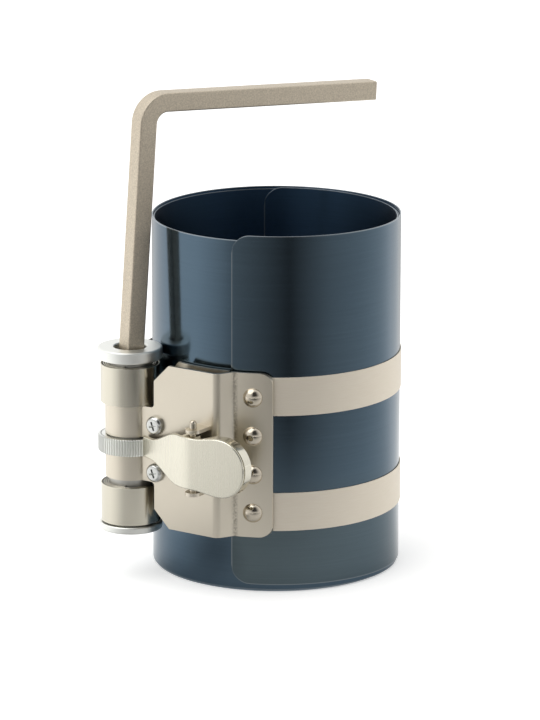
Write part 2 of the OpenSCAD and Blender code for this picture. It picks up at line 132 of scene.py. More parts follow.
class HardwareSizes(bpy.types.PropertyGroup):
    """Sizes of the shaft's fittings, the fasteners and the key."""
    shaft_r: size("Shaft", "Radius of the winding shaft", 9)
    wheel_teeth: IntProperty(name="Teeth", description="Teeth on the wheel", default=72, min=12, max=90)
    tooth: size("Tooth", "Depth of a tooth", 0.6)
    rivet_dir: angle("Rivet row", "Direction of the rivet row", 294.2)
    rivet_r: size("Rivet", "Radius of a rivet's head", 4.1)
    rivet_h: size("Rivet height", "Height of a rivet's head", 2.5)
    screw_r: size("Screw", "Radius of a screw's head", 4)
    screw_h: size("Screw height", "Height of a screw's head", 2.6)
    sheet_edge: size("Sheet edge", "Radius on the edges of the pressed parts", 0.3)
    pawl_sheet: size("Pawl sheet", "Thickness of the pawl", 1.6)
    pawl_rise: size("Pawl rise", "How far the pawl's middle stands above the wheel's", 1.1)
    pawl_edge: size("Pawl edge", "Radius on the pawl's face", 0.65)
    pawl_rim: size("Pawl rim", "Depth of the rim round the thumb end", 6.2)
    pawl_groove: size("Pawl groove", "Depth of the groove behind the thumb's face", 0.6)
    thumb_r: size("Thumb end", "Radius of the pawl's thumb end", 12.4)
    thumb_reach: size("Thumb reach", "From the pin to the middle of the thumb end", 16.9)
    key_side: size("Key", "Side of the square key", 8)
    key_edge: size("Key edge", "Radius on the key's edges", 0.7)
    key_leg: size("Key leg", "Height of the arm above the socket's middle", 115.2)
    key_arm: size("Key arm", "Length of the arm from the leg's axis", 111)
    key_bend: angle("Key bend", "Angle the key is bent through", 89.2)
    key_dir: angle("Key direction", "Direction that the arm points", 65.5)
    key_turn: size("Key turn", "Radius of the key's bend on its middle line", 9)


class Finishes(bpy.types.PropertyGroup):
    """Colours of the metals."""
    blued: colour("Blued steel", "Oxide blue of the sleeve", "#546572")
    blued_dark: colour("Blued steel, dark", "Deeper blue in the sleeve's clouds", "#4d5f6e")
    blued_grey: colour("Blued steel, grey", "Greyer oxide near the strip's outer end", "#596569")
    # Painted shade: a darker blue on the side that faces the bore, for the shade inside it.
    blued_bore_shade: colour("Blued steel, inside", "Deep blue of the side that faces the bore", "#3c546c")
    bare: colour("Bare steel", "Sheared edge of the sleeve", "#98a0a5")
    nickel: colour("Nickel plate", "Warm plate on the bracket", "#dbd3c3")
    nickel_rivet: colour("Nickel rivet", "Darker plate on the rivets", "#c9c0b0")
    nickel_lever: colour("Nickel lever", "Paler plate on the pawl", "#dedacb")
    nickel_band: colour("Nickel strip", "Plate on the bands", "#ebe3d5")
    nickel_worn: colour("Worn strip", "Smoother, greener plate where a band is wound", "#d6d1c2")
    scuff: colour("Scuffed nickel", "Marks of the press on the bracket", "#6f675b")
    zinc: colour("Zinc plate", "Cool plate on the collar, wheel and foot", "#f1f2ed")
    zinc_screw: colour("Zinc screw", "Brighter plate on the screws and nuts", "#d3d4d1")
    wire: colour("Spring wire", "Dull drawn wire", "#8a8a8c")
    key: colour("Blasted steel", "Sandy grey of the key", "#cfc4b2")


class StageSettings(bpy.types.PropertyGroup):
    """The camera, the floor and the light."""
    floor: colour("Floor", "Pale floor", "#f4f4f3")
    floor_lift: FloatProperty(
        name="Floor lift", description="Floor's own light, for the camera and in the metal", default=0.42)
    lamp_power: FloatProperty(
        name="Lamp power", description="Power of the soft lamp", default=12, unit="POWER")
    azimuth: angle("Azimuth", "Direction the camera looks from", 34)
    distance: size("Distance", "Camera's distance from the sleeve's axis, along the floor", 2034)
    height: size("Height", "Camera's height", 618.5)
    pitch: angle("Pitch", "How far the camera looks down", 14.66)
    yaw: angle("Yaw", "How far the camera turns from the sleeve's axis", -0.067)
    roll: angle("Roll", "How far the camera rolls", 0.104)


def way(turn):
    """Unit vector at an angle in the floor's plane."""
    return Vector((math.cos(turn), math.sin(turn), 0))


def add_node(tree, kind, inputs=(), **options):
    """Adds a node with its options, sets or links its inputs, and gives its outputs.

    Inputs come in their order, or in a dict by name or place. A kind with no prefix is a shader node.
    """
    node = tree.nodes.new(kind if "Node" in kind else "ShaderNode" + kind)
    for name, value in options.items():
        setattr(node, name, value)
    named = inputs if isinstance(inputs, dict) else dict(enumerate(inputs))
    for name, value in named.items():
        if isinstance(value, bpy.types.NodeSocket):
            tree.links.new(value, node.inputs[name])
        else:
            node.inputs[name].default_value = value
    return node.outputs


def new_tree(name, sockets):
    """An empty geometry tree with the given inputs: what adds nodes to it, and its inputs."""
    tree = bpy.data.node_groups.new(name, "GeometryNodeTree")
    for label, kind in sockets.items():
        tree.interface.new_socket(label, in_out="INPUT", socket_type="NodeSocket" + kind)
    tree.interface.new_socket("Geometry", in_out="OUTPUT", socket_type="NodeSocketGeometry")
    add = partial(add_node, tree)
    return add, add("NodeGroupInput")


def end_tree(add, geometry, material):
    """Makes a tree's copies real, paints them and hands them out."""
    real = add("GeometryNodeRealizeInstances", {"Geometry": geometry})[0]
    painted = add("GeometryNodeSetMaterial", {"Geometry": real, "Material": material})[0]
    add("NodeGroupOutput", (painted,))
    return painted.id_data


def strip_tree():
    """Sweeps a round-edged bar along a curve, rounds off its ends and keeps where each point lies on it."""
    add, given = new_tree("strip_along_path", {
        "Geometry": "Geometry", "Width": "Float", "Thickness": "Float", "Edge radius": "Float",
        "End radius": "Float", "Side": "Vector", "Material": "Material"})
    length = add("GeometryNodeSplineParameter")["Length"]
    whole = add("GeometryNodeSplineLength")["Length"]
    place = add("GeometryNodeInputPosition")[0]
    rest = add("Math", (whole, length), operation="SUBTRACT")[0]
    from_end = add("Math", (length, rest), operation="MINIMUM")[0]
    curve = add("GeometryNodeSetCurveNormal", {"Curve": given["Geometry"], "Normal": given["Side"]},
                mode="FREE")[0]
    for name, kind, value in (
            ("centre", "FLOAT_VECTOR", place), ("from_end", "FLOAT", from_end), ("along", "FLOAT", length)):
        curve = add("GeometryNodeStoreNamedAttribute", {"Geometry": curve, "Name": name, "Value": value},
                    data_type=kind, domain="POINT")[0]
    outline = add("GeometryNodeCurvePrimitiveQuadrilateral",
                  {"Width": given["Width"], "Height": given["Thickness"]}, mode="RECTANGLE")[0]
    profile = add("GeometryNodeFilletCurve",
                  {"Curve": outline, "Count": 3, "Radius": given["Edge radius"]}, mode="POLY")[0]
    swept = add("GeometryNodeCurveToMesh", {"Curve": curve, "Profile Curve": profile, "Fill Caps": True})[0]
    centre = add("GeometryNodeInputNamedAttribute", {"Name": "centre"}, data_type="FLOAT_VECTOR")[0]
    off = add("VectorMath", (place, centre), operation="SUBTRACT")[0]
    across = add("VectorMath", (off, given["Side"]), operation="DOT_PRODUCT")["Value"]
    # Near an end the strip narrows by what a quarter circle of the end's radius leaves off.
    values = {
        "none": 0.0, "two": 2.0, "across": across, "width": given["Width"], "radius": given["End radius"],
        "near": add("GeometryNodeInputNamedAttribute", {"Name": "from_end"}, data_type="FLOAT")[0]}
    for name, operation, first, second in (
            ("half", "DIVIDE", "width", "two"), ("share", "DIVIDE", "across", "half"),
            ("short", "SUBTRACT", "radius", "near"), ("short", "MAXIMUM", "short", "none"),
            ("square", "MULTIPLY", "short", "short"), ("full", "MULTIPLY", "radius", "radius"),
            ("left", "SUBTRACT", "full", "square"), ("root", "SQRT", "left", "none"),
            ("cut", "SUBTRACT", "root", "radius"), ("move", "MULTIPLY", "share", "cut")):
        values[name] = add("Math", (values[first], values[second]), operation=operation)[0]
    shift = add("VectorMath", {0: given["Side"], "Scale": values["move"]}, operation="SCALE")[0]
    marked = add("GeometryNodeStoreNamedAttribute",
                 {"Geometry": swept, "Name": "across", "Value": values["share"]}, data_type="FLOAT",
                 domain="POINT")[0]
    moved = add("GeometryNodeSetPosition", {"Geometry": marked, "Offset": shift})[0]
    return end_tree(add, moved, given["Material"])


def row_tree():
    """Copies a piece along a straight row."""
    add, given = new_tree("row_of_copies", {
        "Geometry": "Geometry", "Count": "Int", "Step": "Vector", "Material": "Material"})
    line = add("GeometryNodeMeshLine", {"Count": given["Count"], "Offset": given["Step"]}, mode="OFFSET")[0]
    copies = add("GeometryNodeInstanceOnPoints", {"Points": line, "Instance": given["Geometry"]})[0]
    return end_tree(add, copies, given["Material"])


def ring_tree():
    """Copies a piece round an upright axis through Centre."""
    add, given = new_tree("ring_of_copies", {
        "Geometry": "Geometry", "Count": "Int", "Centre": "Vector", "Material": "Material"})
    points = add("GeometryNodePoints", {"Count": given["Count"]})[0]
    index = add("GeometryNodeInputIndex")[0]
    share = add("Math", (index, given["Count"]), operation="DIVIDE")[0]
    turn = add("Math", (share, math.tau), operation="MULTIPLY")[0]
    euler = add("CombineXYZ", {"Z": turn})[0]
    rotation = add("FunctionNodeEulerToRotation", (euler,))[0]
    copies = add("GeometryNodeInstanceOnPoints",
                 {"Points": points, "Instance": given["Geometry"], "Rotation": rotation})[0]
    placed = add("GeometryNodeTransform", {"Geometry": copies, "Translation": given["Centre"]})[0]
    return end_tree(add, placed, given["Material"])


def grow(obj, name, make, **values):
    """Gives an object a geometry tree, made the first time, and sets its inputs by their identifiers."""
    tree = bpy.data.node_groups.get(name) or make()
    modifier = obj.modifiers.new(name, "NODES")
    modifier.node_group = tree
    for item in tree.interface.items_tree:
        key = item.name.lower().replace(" ", "_")
        if item.in_out == "INPUT" and key in values:
            modifier[item.identifier] = values[key]


def linked(name, data):
    """A new object that holds the data, put in the scene."""
    obj = bpy.data.objects.new(name, data)
    bpy.context.scene.collection.objects.link(obj)
    return obj


def path_object(name, points):
    """A poly curve through the points."""
    data = bpy.data.curves.new(name, "CURVE")
    data.dimensions = "3D"
    spline = data.splines.new("POLY")
    spline.points.add(len(points) - 1)
    for point, place in zip(spline.points, points):
        point.co = (*place, 1)
    return linked(name, data)


def mesh_object(name, mesh):
    """An object that holds a bmesh, which is freed."""
    data = bpy.data.meshes.new(name)
    mesh.to_mesh(data)
    mesh.free()
    return linked(name, data)


def baked(obj):
    """The mesh that an object's modifiers make."""
    graph = bpy.context.evaluated_depsgraph_get()
    return bpy.data.meshes.new_from_object(obj.evaluated_get(graph), depsgraph=graph)


def settle(name, obj, body, nodes, material=None):
    """Makes the finished mesh of an object, which stands for CAD nodes and rides on their body."""
    piece = linked(name, baked(obj))
    bpy.data.objects.remove(obj)
    # Broad faces set the shading, so that rounded edges don't bend the light on the flats beside them.
    weigh = piece.modifiers.new("weigh", "WEIGHTED_NORMAL")
    weigh.keep_sharp = True
    piece.data = baked(piece)
    piece.modifiers.clear()
    piece.data.name = name
    if material:
        piece.data.materials.clear()
        piece.data.materials.append(material)
    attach(piece, body)
    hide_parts(*nodes)


def smooth(mesh, crease):
    """Smooth faces, with a hard edge wherever they meet more sharply than crease, in degrees."""
    limit = math.radians(crease)
    for face in mesh.faces:
        face.smooth = True
    for edge in mesh.edges:
        edge.smooth = len(edge.link_faces) == 2 and edge.calc_face_angle(0) < limit


def pressed(node, edge, crease=30):
    """A copy of a CAD node with its loose triangles joined, its flats cleaned and its edges rounded."""
    mesh = bmesh.new()
    mesh.from_mesh(frame["nodes"][node].data)
    bmesh.ops.remove_doubles(mesh, verts=mesh.verts, dist=WELD)
    bmesh.ops.dissolve_limit(
        mesh, angle_limit=FLAT, verts=mesh.verts, edges=mesh.edges, use_dissolve_boundaries=False)
    smooth(mesh, crease)
    obj = mesh_object(node + "_copy", mesh)
    bevel = obj.modifiers.new("edge", "BEVEL")
    bevel.width = edge
    bevel.segments = 3
    bevel.limit_method = "ANGLE"
    bevel.angle_limit = math.radians(crease)
    bevel.use_clamp_overlap = True
    return obj


def bridge(mesh, loops):
    """Joins each closed loop of points to the next by a band of faces."""
    for first, second in zip(loops, loops[1:]):
        for i in range(len(first)):
            j = (i + 1) % len(first)
            mesh.faces.new((first[i], first[j], second[j], second[i]))


def shell(name, mesh, crease=30):
    """An object that holds a closed bmesh, its doubles merged and its faces turned outwards."""
    bmesh.ops.remove_doubles(mesh, verts=mesh.verts, dist=WELD)
    bmesh.ops.recalc_face_normals(mesh, faces=mesh.faces)
    smooth(mesh, crease)
    return mesh_object(name, mesh)


def rounded(points, radius, steps=5):
    """The points of an open profile with its inner corners rounded, over less than half of each side."""
    most = 0.45
    made = [Vector(points[0])]
    for before, corner, after in zip(points, points[1:], points[2:]):
        corner = Vector(corner)
        back, ahead = Vector(before) - corner, Vector(after) - corner
        reach = min(radius, most * back.length, most * ahead.length)
        start, end = corner + back.normalized() * reach, corner + ahead.normalized() * reach
        for i in range(steps + 1):
            t = i / steps
            made.append(start.lerp(corner, t).lerp(corner.lerp(end, t), t))
    return made + [Vector(points[-1])]


def lathe(name, profile, place, axis=UP, steps=144):
    """Turns a profile of (radius, height) points about an axis at a place."""
    mesh = bmesh.new()
    verts = [mesh.verts.new((r, 0, h)) for r, h in profile]
    edges = [mesh.edges.new(pair) for pair in zip(verts, verts[1:])]
    bmesh.ops.spin(
        mesh, geom=verts + edges, axis=UP, cent=(0, 0, 0), angle=math.tau, steps=steps, use_merge=True)
    turn = UP.rotation_difference(axis).to_matrix().to_4x4()
    mesh.transform(Matrix.Translation(place) @ turn)
    return shell(name, mesh)


def metal(name, tone, rough):
    """A new metal: what adds nodes to it, its shader, and the place on the piece in millimetres."""
    material = bpy.data.materials.new(name)
    material.use_nodes = True
    tree = material.node_tree
    shader = tree.nodes["Principled BSDF"]
    shader.inputs["Metallic"].default_value = 1
    shader.inputs["Base Color"].default_value = (*tone, 1)
    shader.inputs["Roughness"].default_value = rough
    add = partial(add_node, tree)
    place = add("TexCoord")["Object"]
    ruler = add("VectorMath", {0: place, "Scale": 1 / MM}, operation="SCALE")[0]
    return add, shader, ruler


def grain(add, ruler, lengths, detail):
    """Noise whose grain has the given lengths in mm along X, Y and Z."""
    lay = add("Mapping", {"Vector": ruler, "Scale": [1 / g for g in lengths]})[0]
    return add("TexNoise", {"Vector": lay, "Scale": 1, "Detail": detail})[0]


def feed(shader, values):
    """Links values to a shader's inputs by name."""
    for name, value in values.items():
        shader.id_data.links.new(value, shader.inputs[name])


# Below, a Map Range takes its value, the two ends that it comes from and the two that it goes to, in their
# order, and a Mix takes two numbers in places 2 and 3 or two colours in places 6 and 7.
def blued_spring_steel(finish, sleeve):
    """Oxide-blued strip: glossy slate blue with soft clouds, faint rolling lines and dim sheared edges."""
    add, shader, ruler = metal("blued_spring_steel", finish.blued, 0.22)
    blue, deep, grey, inner, bare = [(*c, 1) for c in (
        finish.blued, finish.blued_dark, finish.blued_grey, finish.blued_bore_shade, finish.bare)]
    cloud = grain(add, ruler, (45, 45, 45), 2)
    tone = add("Mix", {"Factor": cloud, 6: deep, 7: blue}, data_type="RGBA")[2]
    # The oxide is greyer near the strip's outer end, most of all low down.
    along = add("Attribute", attribute_name="along")["Fac"]
    outer = add("MapRange", (along, 10 * MM, 170 * MM, 0.9, 0))[0]
    height = add("SeparateXYZ", (ruler,))["Z"]
    low = add("MapRange", (height, 25, 50, 1, 0.2))[0]
    outer = add("Math", (outer, low), operation="MULTIPLY")[0]
    tone = add("Mix", {"Factor": outer, 6: tone, 7: grey}, data_type="RGBA")[2]
    scratch = grain(add, ruler, (30, 30, 0.5), 3)
    rough = add("MapRange", (scratch, 0.3, 0.75, 0.12, 0.17))[0]
    # The side that faces the bore is duller than the outside, and it is painted a darker blue there as
    # painted shade inside the bore.
    coords = add("TexCoord")
    outward = add("VectorMath", (coords["Object"], (1, 1, 0)), operation="MULTIPLY")[0]
    outward = add("VectorMath", (outward,), operation="NORMALIZE")[0]
    facing = add("VectorMath", (outward, coords["Normal"]), operation="DOT_PRODUCT")["Value"]
    inside = add("MapRange", (facing, 0.1, -0.1, 0, 1))[0]
    rough = add("Mix", {"Factor": inside, 2: rough, 3: 0.28}, data_type="FLOAT")[0]
    tone = add("Mix", {"Factor": inside, 6: tone, 7: inner}, data_type="RGBA")[2]
    # Its rolling lines run round the bore and draw the sheen out up and down.
    drawn = add("Math", (inside, 0.95), operation="MULTIPLY")[0]
    round_bore = add("Tangent", direction_type="RADIAL", axis="Z")[0]
    shader.inputs["Anisotropic Rotation"].default_value = 0.25
    lines = add("MapRange", (scratch, 0.3, 0.7, 0.955, 1.045))[0]
    tone = add("VectorMath", {0: tone, "Scale": lines}, operation="SCALE")[0]
    # Sheared steel shows along the strip's edges and ends, about half a millimetre wide.
    across = add("Attribute", attribute_name="across")["Fac"]
    side = add("Math", (across,), operation="ABSOLUTE")[0]
    rim = add("MapRange", (side, 1 - 0.9 * MM / sleeve.width, 1 - 0.5 * MM / sleeve.width, 0, 0.6))[0]
    from_end = add("Attribute", attribute_name="from_end")["Fac"]
    tip = add("MapRange", (from_end, 0.2 * MM, 0.7 * MM, 0.6, 0))[0]
    rim = add("Math", (rim, tip), operation="MAXIMUM")[0]
    tone = add("Mix", {"Factor": rim, 6: tone, 7: bare}, data_type="RGBA")[2]
    feed(shader, {"Base Color": tone, "Roughness": rough, "Anisotropic": drawn, "Tangent": round_bore})


def brushed(name, tone, rough, lengths, spread=0.06, lift=0.02):
    """Plated or drawn steel: an even tone with a fine grain that breaks up its gloss; lift is in mm."""
    add, shader, ruler = metal(name, tone, rough)
    lines = grain(add, ruler, lengths, 4)
    haze = grain(add, ruler, (14, 14, 14), 2)
    both = add("Math", (lines, haze), operation="ADD")[0]
    gloss = add("MapRange", (both, 0.6, 1.4, rough - spread, rough + spread))[0]
    bump = add("Bump", {"Height": lines, "Strength": 0.25, "Distance": lift * MM})[0]
    feed(shader, {"Roughness": gloss, "Normal": bump})
    return add, shader, ruler


def wound_strip(finish, sleeve):
    """Nickel-plated band: matt with fine lines along it, and rubbed smooth towards the winding shaft."""
    add, shader, ruler = metal("nickel_plated_strip", finish.nickel_band, 0.7)
    lines = grain(add, ruler, (6, 6, 0.25), 4)
    along = add("Attribute", attribute_name="along")["Fac"]
    wrap = math.tau * sleeve.bore
    matt = add("MapRange", (along, 0.3 * wrap, 0.8 * wrap, 1, 0))[0]
    # The loose turns ride on the shaft and start at no length, so their place tells them from the wrap.
    apart = add("VectorMath", (ruler, SHAFT / MM), operation="SUBTRACT")[0]
    flat = add("VectorMath", (apart, (1, 1, 0)), operation="MULTIPLY")[0]
    reach = add("VectorMath", (flat,), operation="LENGTH")["Value"]
    away = add("MapRange", (reach, 13, 16, 0, 1))[0]
    matt = add("Math", (matt, away), operation="MULTIPLY")[0]
    extra = add("MapRange", (lines, 0.3, 0.7, 0.36, 0.48))[0]
    extra = add("Math", (matt, extra), operation="MULTIPLY")[0]
    rough = add("Math", (extra, 0.22), operation="ADD")[0]
    worn, plate = (*finish.nickel_worn, 1), (*finish.nickel_band, 1)
    tone = add("Mix", {"Factor": matt, 6: worn, 7: plate}, data_type="RGBA")[2]
    feed(shader, {"Base Color": tone, "Roughness": rough})


def pressed_sheet(finish):
    """Nickel-plated bracket: smooth and bright, with a scuffed line where the press set the flange."""
    add, shader, ruler = brushed("nickel_plated_sheet", finish.nickel, 0.34, (3, 3, 5), 0.03, 0.008)
    # The flange starts at the bracket's inner bend, this far along X in mm.
    flange_x = 15.8
    x = add("SeparateXYZ", (ruler,))["X"]
    off = add("Math", (x, flange_x), operation="SUBTRACT")[0]
    off = add("Math", (off,), operation="ABSOLUTE")[0]
    near = add("MapRange", (off, 0.2, 1.3, 1, 0))[0]
    scuff = grain(add, ruler, (0.8, 0.8, 0.8), 3)
    patchy = add("MapRange", (scuff, 0.35, 0.65, 0.1, 0.6))[0]
    mark = add("Math", (near, patchy), operation="MULTIPLY")[0]
    tone = add("Mix", {"Factor": mark, 6: (*finish.nickel, 1), 7: (*finish.scuff, 1)}, data_type="RGBA")[2]
    feed(shader, {"Base Color": tone})


def pressed_lever(finish):
    """Nickel-plated pawl: a face brushed upright with faint lines, and a polished rim and edge."""
    add, shader, ruler = metal("nickel_plated_lever", finish.nickel_lever, 0.3)
    lines = grain(add, ruler, (0.5, 0.5, 20), 3)
    normal = add("TexCoord")["Normal"]
    ahead = add("SeparateXYZ", (normal,))["Y"]
    face = add("MapRange", (ahead, -0.6, -0.85, 0.13, 0.27))[0]
    ridge = add("MapRange", (lines, 0.3, 0.7, -0.015, 0.02))[0]
    rough = add("Math", (face, ridge), operation="ADD")[0]
    shade = add("MapRange", (lines, 0.3, 0.7, 1.01, 0.98))[0]
    tone = add("VectorMath", {0: finish.nickel_lever, "Scale": shade}, operation="SCALE")[0]
    feed(shader, {"Base Color": tone, "Roughness": rough})


def blasted_bar(finish):
    """Shot-blasted key steel: a sandy warm grey with a fine pitted grain."""
    add, shader, ruler = metal("blasted_key_steel", finish.key, 0.5)
    # Real grit is about 0.1 mm; it is drawn at 0.6 mm so that it shows.
    grit = grain(add, ruler, (0.6, 0.6, 0.6), 4)
    shade = add("MapRange", (grit, 0.3, 0.7, 0.82, 1.12))[0]
    tone = add("VectorMath", {0: finish.key, "Scale": shade}, operation="SCALE")[0]
    bump = add("Bump", {"Height": grit, "Strength": 0.6, "Distance": 0.08 * MM})[0]
    feed(shader, {"Base Color": tone, "Normal": bump})


def metals():
    """Every metal by its name, made once."""
    scene = bpy.context.scene
    sleeve, finish = scene.ring_sleeve, scene.ring_finish
    if "blued_spring_steel" not in bpy.data.materials:
        blued_spring_steel(finish, sleeve)
        wound_strip(finish, sleeve)
        pressed_sheet(finish)
        pressed_lever(finish)
        brushed("nickel_plated_rivet", finish.nickel_rivet, 0.15, (2, 2, 2), spread=0.03, lift=0.005)
        brushed("zinc_plated_steel", finish.zinc, 0.4, (0.8, 0.8, 0.8))
        brushed("zinc_plated_wheel", finish.zinc, 0.3, (0.8, 0.8, 0.8), spread=0.04, lift=0.01)
        brushed("zinc_plated_screw", finish.zinc_screw, 0.2, (2, 2, 2), spread=0.03, lift=0.005)
        brushed("turned_steel", finish.nickel_band, 0.3, (4, 4, 0.2))
        brushed("drawn_spring_wire", finish.wire, 0.3, (2, 2, 2))
        blasted_bar(finish)
    return bpy.data.materials


def spiral_points(sleeve):
    """Middle line of the sleeve's strip: half-turns about two centres, with a lower edge that rises."""
    pitch = sleeve.sheet + sleeve.lap_gap
    turn_r = sleeve.bore + sleeve.sheet / 2 + 2 * pitch
    lap = way(sleeve.outer_end + math.pi) * pitch / 2
    step = math.radians(0.5)
    last = len(EDGE_RISES) - 2
    points = []
    for k, (rise, after) in enumerate(zip(EDGE_RISES, EDGE_RISES[1:])):
        run = math.pi if k < last else sleeve.inner_run
        count = round(run / step)
        for i in range(0 if k == 0 else 1, count + 1):
            t = run * i / count
            z = (rise + (after - rise) * (1 - math.cos(t)) / 2) * MM + sleeve.width / 2
            flat = way(sleeve.outer_end + math.pi * k + t) * (turn_r - k * pitch / 2)
            points.append(flat + lap * (k % 2) + UP * z)
    return points


def arc_points(centre, radius, start, end, step=0.75):
    """Points round an arc about an upright axis, angles in radians, step in degrees."""
    count = max(2, round(abs(end - start) / math.radians(step)))
    return [centre + way(start + (end - start) * i / count) * radius for i in range(count + 1)]


def middle(node):
    """Middle of a CAD node's box."""
    low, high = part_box(node)
    return (low + high) / 2


def band_points(sleeve, hardware, rivet, coil):
    """Middle line of a band: from under the flange round the sleeve, across to the shaft and round it."""
    gap, past_end, run = 0.05 * MM, math.radians(4), math.radians(290)
    pitch = sleeve.sheet + sleeve.lap_gap
    wrap_r = sleeve.bore + sleeve.sheet + 2 * pitch + gap + sleeve.band_sheet / 2
    inner_r = wrap_r - pitch / 2
    lap = way(sleeve.outer_end + math.pi) * pitch / 2
    low, high = UP * middle(rivet).z, UP * middle(coil).z
    shaft = Vector((SHAFT.x, SHAFT.y, 0))
    coil_r = hardware.shaft_r + sleeve.coil_over - sleeve.band_sheet / 2
    apart = shaft - lap
    leave = math.atan2(apart.y, apart.x) - math.acos((inner_r - coil_r) / apart.length) + 2 * math.tau
    start, half = sleeve.outer_end + past_end, sleeve.outer_end + math.pi
    points = [p + low for p in arc_points(Vector(), wrap_r, start, half)]
    points += [p + low for p in arc_points(lap, inner_r, half, leave)[1:]]
    return points + [p + high for p in arc_points(shaft, coil_r, leave, leave + run, step=3)]


def wound_points(sleeve, hardware, coil):
    """Middle line of the loose turns on the shaft, ending in the shaft's slot."""
    gap, slot, turns, count = 0.35 * MM, math.radians(295), 2.5, 180
    outer = hardware.shaft_r + sleeve.coil_over - 1.5 * sleeve.band_sheet - gap
    inner = outer - turns * sleeve.coil_pitch
    at = Vector((SHAFT.x, SHAFT.y, middle(coil).z))
    points = []
    for i in range(count):
        left = turns * (1 - i / count)
        points.append(at + way(slot - left * math.tau) * (inner + sleeve.coil_pitch * left))
    return points


def ease(t):
    """Smooth step from 0 to 1."""
    t = min(max(t, 0), 1)
    return t * t * (3 - 2 * t)


def height_at(line, x):
    """Second coordinate of a line of points at a first coordinate."""
    for a, b in zip(line, line[1:]):
        if x <= b.x:
            break
    return a.y + (b.y - a.y) * (x - a.x) / (b.x - a.x)


def inset_ways(loop):
    """For each point of a closed loop that runs left-handed, the step that moves it inwards by one."""
    # A corner moves at most 1 / least times as far as its sides do.
    least = 0.4
    made = []
    for i, point in enumerate(loop):
        before = (point - loop[i - 1]).normalized()
        after = (loop[(i + 1) % len(loop)] - point).normalized()
        inward = Vector((-before.y - after.y, before.x + after.x)).normalized()
        made.append(inward / max(least, inward.dot(Vector((-after.y, after.x)))))
    return made


def pawl_front(hardware):
    """Front of the pawl seen from above: up from the nose, a bend over the pin, and the thumb end."""
    nose_dir, nose_gap, past_tip = math.radians(-30), 0.23 * MM, 2 * MM
    bend_r, bend_past, bend_out, thumb_out = 3.3 * MM, 0.4 * MM, 6.2 * MM, 5.2 * MM
    low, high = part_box("ratchet_wheel")
    nose = SHAFT + way(nose_dir) * ((high.x - low.x) / 2 + nose_gap)
    tip = PIN.x + hardware.thumb_reach + hardware.thumb_r + past_tip
    bend = (PIN.x + bend_past, PIN.y - bend_out)
    line = rounded([nose.xy, bend, (tip, PIN.y - thumb_out)], bend_r, steps=12)
    made = []
    for i, point in enumerate(line):
        run = line[min(i + 1, len(line) - 1)] - line[max(i - 1, 0)]
        made.append(point + Vector((run.y, -run.x)).normalized() * hardware.pawl_sheet / 2)
    return made


def pawl_half(hardware, x, nose_x):
    """Half the pawl's height at x: a narrow nose, a waist and the thumb end."""
    nose, waist = 4.5 * MM, 11 * MM
    nose_run, waist_run, swell_start = 5 * MM, 19.3 * MM, 4 * MM
    grown = ease((x - nose_x - nose_run) / waist_run)
    swell = ease((x - PIN.x - swell_start) / (hardware.thumb_reach - swell_start))
    return nose + (waist - nose) * grown + (hardware.thumb_r - waist) * swell


def pawl_outline(hardware, nose_x):
    """The pawl's outline seen from the front, about its middle height, from the tip round the top."""
    thumb_x, r = PIN.x + hardware.thumb_reach, hardware.thumb_r
    along, around = 48, 24
    upper = []
    for i in range(along + 1):
        x = nose_x + (thumb_x - nose_x) * i / along
        upper.append((x, pawl_half(hardware, x, nose_x)))
    for i in range(1, around):
        turn = math.pi / 2 * i / around
        upper.append((thumb_x + r * math.sin(turn), r * math.cos(turn)))
    return [Vector(p) for p in [(thumb_x + r, 0)] + upper[::-1] + [(x, -z) for x, z in upper]]


class COMPRESSOR_OT_sleeve(bpy.types.Operator):
    """Winds the sleeve from one strip of blued steel"""
    bl_idname = "compressor.sleeve"
    bl_label = "Sleeve"

    def execute(self, context):
        sleeve = context.scene.ring_sleeve
        obj = path_object("sleeve_path", spiral_points(sleeve))
        grow(obj, "strip_along_path", strip_tree, width=sleeve.width, thickness=sleeve.sheet,
             edge_radius=sleeve.edge, end_radius=sleeve.corner, side=UP,
             material=metals()["blued_spring_steel"])
        settle("sleeve_strip", obj, "frame", ["sleeve"])
        return {"FINISHED"}


class COMPRESSOR_OT_bands(bpy.types.Operator):
    """Runs the two bands round the sleeve and winds them on the shaft"""
    bl_idname = "compressor.bands"
    bl_label = "Bands"

    def execute(self, context):
        sleeve, hardware = context.scene.ring_sleeve, context.scene.ring_hardware
        look = {"width": sleeve.band_width, "thickness": sleeve.band_sheet, "edge_radius": sleeve.band_edge,
                "end_radius": 0.0, "side": UP, "material": metals()["nickel_plated_strip"]}
        for level, rivet in (("upper", "flange_rivet_4"), ("lower", "flange_rivet_1")):
            coil = level + "_coil"
            band = path_object(level + "_path", band_points(sleeve, hardware, rivet, coil))
            grow(band, "strip_along_path", strip_tree, **look)
            settle(level + "_band_strip", band, "frame", [level + "_band"])
            wound = path_object(level + "_turns", wound_points(sleeve, hardware, coil))
            grow(wound, "strip_along_path", strip_tree, **look)
            settle(level + "_wound_turns", wound, "shaft", [coil])
        return {"FINISHED"}


class COMPRESSOR_OT_bracket(bpy.types.Operator):
    """Presses the bracket and the guide plate behind it"""
    bl_idname = "compressor.bracket"
    bl_label = "Bracket"

    def execute(self, context):
        edge = context.scene.ring_hardware.sheet_edge
        for node in ("front_plate", "rear_plate"):
            settle(node + "_pressing", pressed(node, edge), "frame", [node],
                   metals()["nickel_plated_sheet"])
        return {"FINISHED"}


